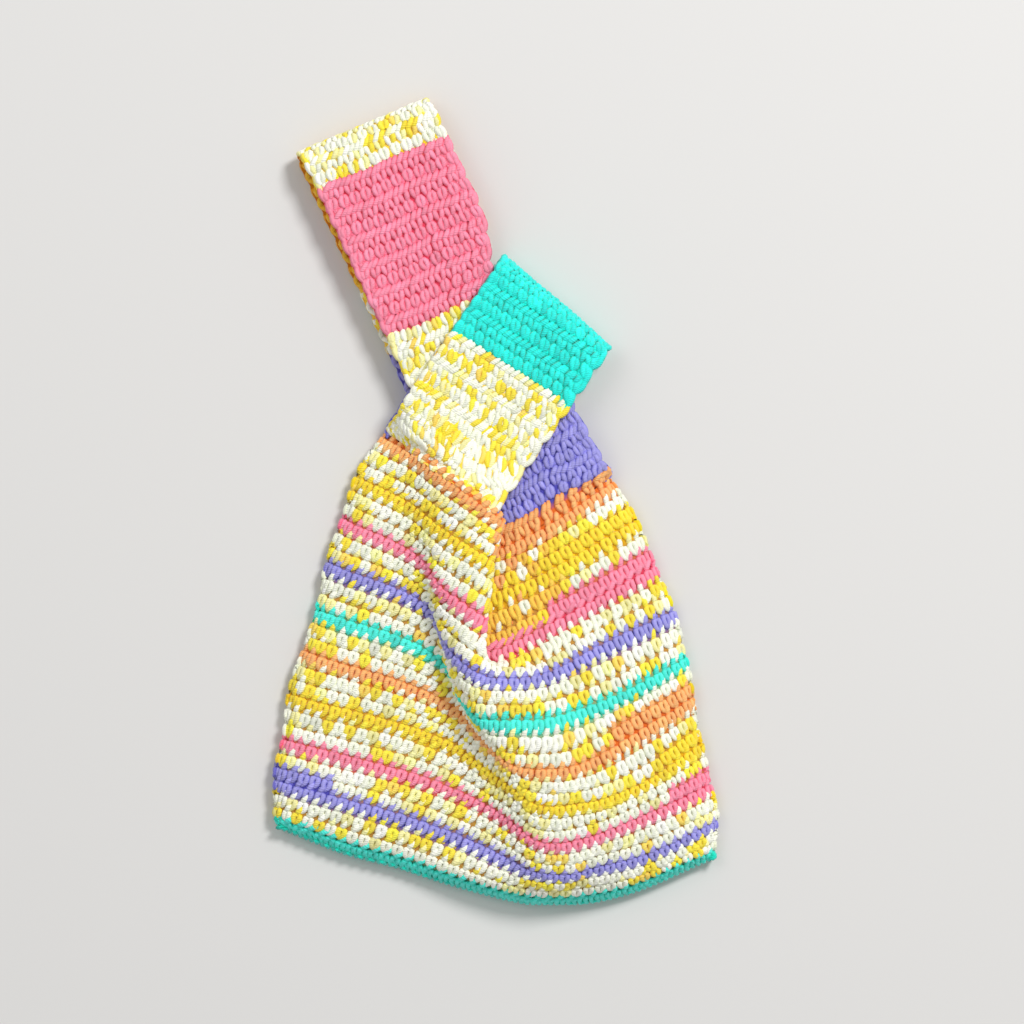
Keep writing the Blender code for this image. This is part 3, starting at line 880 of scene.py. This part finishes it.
def makeBody():
    gathered = {name: [] for name in bodyPieces}
    for row in range(fabric["rounds"]):
        # the number of stitches changes every fourth round
        count = stitchCount(body, row // 4 * 4 + 2)
        stagger = bodyStitches["stagger"] * row % 1
        rows, shares, scales = rowStitches(body, row + bodyStitches["foot"], count, stagger)
        places = readSheet(body, rows, shares)
        facing = readSheet(body, rows, shares, "outward")[:, 2] > 0
        edge = places[:, 2] > fabric["edgeHeight"] - bodyStitches["edgeBelow"]
        front = facing | edge
        for name, (low, high, onFront) in bodyPieces.items():
            if not low <= row < high:
                continue
            chosen = front if onFront else ~front
            names = [bodyYarn(row, place[0], onFront) for place in places[chosen]]
            gathered[name] += stitchParts(body, rows[chosen], shares[chosen], scales[chosen],
                                          names, roundStitch, bodyStitches["lean"])
    gathered["bodyFrontLow"].append(bottomPart(body))
    for name, parts in gathered.items():
        makePiece(name, parts, strandMaterial)


strapStitches = {"foot": 0.05, "phase": 0.5, "lean": {"short": -0.3, "long": 0.1}}
# from a handle's outer face to its inner one, and how much of the width shows at each edge
innerFace = {"depth": 4.9, "share": 0.17}
# stitches that fill in behind those at the stretched foot of the short handle
under = {"rows": 8, "depth": 0.8, "up": 0.5}
# strands along a handle's edges
rim = {
    "rings": 7,
    "radius": 1.7,
    "insets": (0.0, 2.6, 4.6),
    "insetSink": 0.2,       # deeper by this share of the inset
    "bump": 1.2,
    "lowBump": 0.4,         # share of the bump on every second row
    "tuck": 0.5,
    "sink": 1.9,
    "endSink": 0.5,
    "ends": 0.55,           # thickness at a strand's ends as a share of its middle's
    "span": (-0.25, 1.25),  # rows from the strand's own row
    "probe": 0.03,
}


def rimPart(sheet, name, side, inset):
    # short strands that turn from row to row along one edge of a handle
    rows = np.arange(0, sheet["rows"])
    at = rows[:, None] + np.linspace(*rim["span"], rim["rings"])
    share = np.full_like(at, 0.0 if side < 0 else 1.0)
    points = readSheet(sheet, at, share)
    outside = points - readSheet(sheet, at, np.abs(share - rim["probe"]))
    outside /= np.linalg.norm(outside, axis=2, keepdims=True)
    outward = readSheet(sheet, at, share, "outward")
    rise = np.sin(np.linspace(0, math.pi, rim["rings"]))
    bump = np.where(rows % 2 == 0, rim["bump"], rim["bump"] * rim["lowBump"])
    reach = bump[:, None] * rise - rim["tuck"] - rim["radius"] - inset
    sink = rim["sink"] + inset * rim["insetSink"] + rim["endSink"] * (1 - rise)
    centres = points + outside * reach[..., None] - outward * sink[:, None]
    thickness = rim["radius"] * (rim["ends"] + (1 - rim["ends"]) * rise)
    tints = np.array([strandColour(strapYarn(name, row), 1)[0] for row in rows])
    return plainTubes(centres, outward, thickness, tints)


def innerParts(sheet, name):
    # stitches on the inner face of a handle's back half, along the edges that show
    inner = dict(sheet)
    inner["grid"] = sheet["grid"] - sheet["outward"] * innerFace["depth"]
    inner["outward"] = -sheet["outward"]
    parts = []
    for row in range(sheet["rows"] // 2, sheet["rows"]):
        count = stitchCount(sheet, row // 2 * 2 + 1)
        rows, shares, scales = rowStitches(inner, row + strapStitches["foot"], count,
                                           strapStitches["phase"])
        shown = abs(shares - 0.5) > 0.5 - innerFace["share"]
        strands = plainStitch if row % 2 == 0 else turnedStitch
        names = [strapYarn(name, row)] * int(shown.sum())
        parts += stitchParts(inner, rows[shown], shares[shown], scales[shown], names, strands, 0.0)
    return parts


def sunkStrands(strands):
    return [[(across, up, out - under["depth"], thickness) for across, up, out, thickness in path]
            for path in strands]


def makeStraps():
    for name, sheet in straps.items():
        parts = []
        for row in range(sheet["rows"]):
            count = stitchCount(sheet, row // 2 * 2 + 1)
            rows, shares, scales = rowStitches(sheet, row + strapStitches["foot"], count,
                                               strapStitches["phase"])
            strands = turnedStitch if row % 2 == 0 else plainStitch
            names = [strapYarn(name, row)] * count
            parts += stitchParts(sheet, rows, shares, scales, names, strands,
                                 strapStitches["lean"][name])
            if name == "short" and row < under["rows"]:
                between = shares[1:] - 0.5 / count
                parts += stitchParts(sheet, rows[1:] + under["up"], between, scales[1:],
                                     names[1:], sunkStrands(strands), 0.0)
        parts += innerParts(sheet, name)
        parts += [rimPart(sheet, name, side, inset) for side in (-1, 1) for inset in rim["insets"]]
        makePiece(name + "Handle", parts, strandMaterial)


def makeBacking():
    last = fabric["rounds"] - 1
    parts = backingPart(body, lambda row, x: bodyYarn(min(int(row), last), x, True))
    for name, sheet in straps.items():
        parts += backingPart(sheet, lambda row, x: backingYarn(strapYarn(name, row)))
    makePiece("shadedBacking", parts, backingMaterial)


makeBody()
makeStraps()
makeBacking()


# floor, light and camera

stage = {
    "floorSize": 3.0,
    "floorColour": (0.72, 0.71, 0.695, 1),
    "floorRoughness": 0.9,
    "world": 0.455,
    "viewWidth": 0.5427,    # of the picture on the floor, in metres
    "viewCentre": (0.0086, -0.0057),
    "cameraHeight": 3.0,
    "farthest": 20.0,
    "sensor": 36.0,
}
lamps = {
    "keyLamp": {"place": (1.4, 1.6, 2.4), "size": 0.9, "power": 71},
    "fillLamp": {"place": (-1.6, 1.2, 2.9), "size": 2.0, "power": 16},
}


def makeFloor():
    bpy.ops.mesh.primitive_plane_add(size=stage["floorSize"], location=(0, 0, 0))
    floor = bpy.context.object
    floor.name = "floor"
    material = bpy.data.materials.new("paleFloor")
    material.use_nodes = True
    shader = material.node_tree.nodes["Principled BSDF"]
    shader.inputs["Base Color"].default_value = stage["floorColour"]
    shader.inputs["Roughness"].default_value = stage["floorRoughness"]
    floor.data.materials.append(material)


def makeLamp(name, look):
    # a round soft lamp that points at the bag
    lamp = bpy.data.lights.new(name, "AREA")
    lamp.shape = "DISK"
    lamp.size = look["size"]
    lamp.energy = look["power"]
    holder = bpy.data.objects.new(name, lamp)
    holder.location = look["place"]
    x, y, z = look["place"]
    holder.rotation_euler = (math.atan2(math.hypot(x, y), z), 0, math.atan2(-y, -x) - math.pi / 2)
    bpy.context.scene.collection.objects.link(holder)


def makeWorld():
    world = bpy.data.worlds.new("softRoom")
    world.use_nodes = True
    background = world.node_tree.nodes["Background"]
    background.inputs["Color"].default_value = (1, 1, 1, 1)
    background.inputs["Strength"].default_value = stage["world"]
    bpy.context.scene.world = world


def makeCamera():
    view = bpy.data.cameras.new("camera")
    view.sensor_width = stage["sensor"]
    view.lens = stage["sensor"] * stage["cameraHeight"] / stage["viewWidth"]
    view.clip_end = stage["farthest"]
    holder = bpy.data.objects.new("camera", view)
    holder.location = (*stage["viewCentre"], stage["cameraHeight"])
    bpy.context.scene.collection.objects.link(holder)
    bpy.context.scene.camera = holder


makeFloor()
makeWorld()
for name, look in lamps.items():
    makeLamp(name, look)
makeCamera()
bpy.context.scene.view_settings.view_transform = "Standard"
print("stage set")
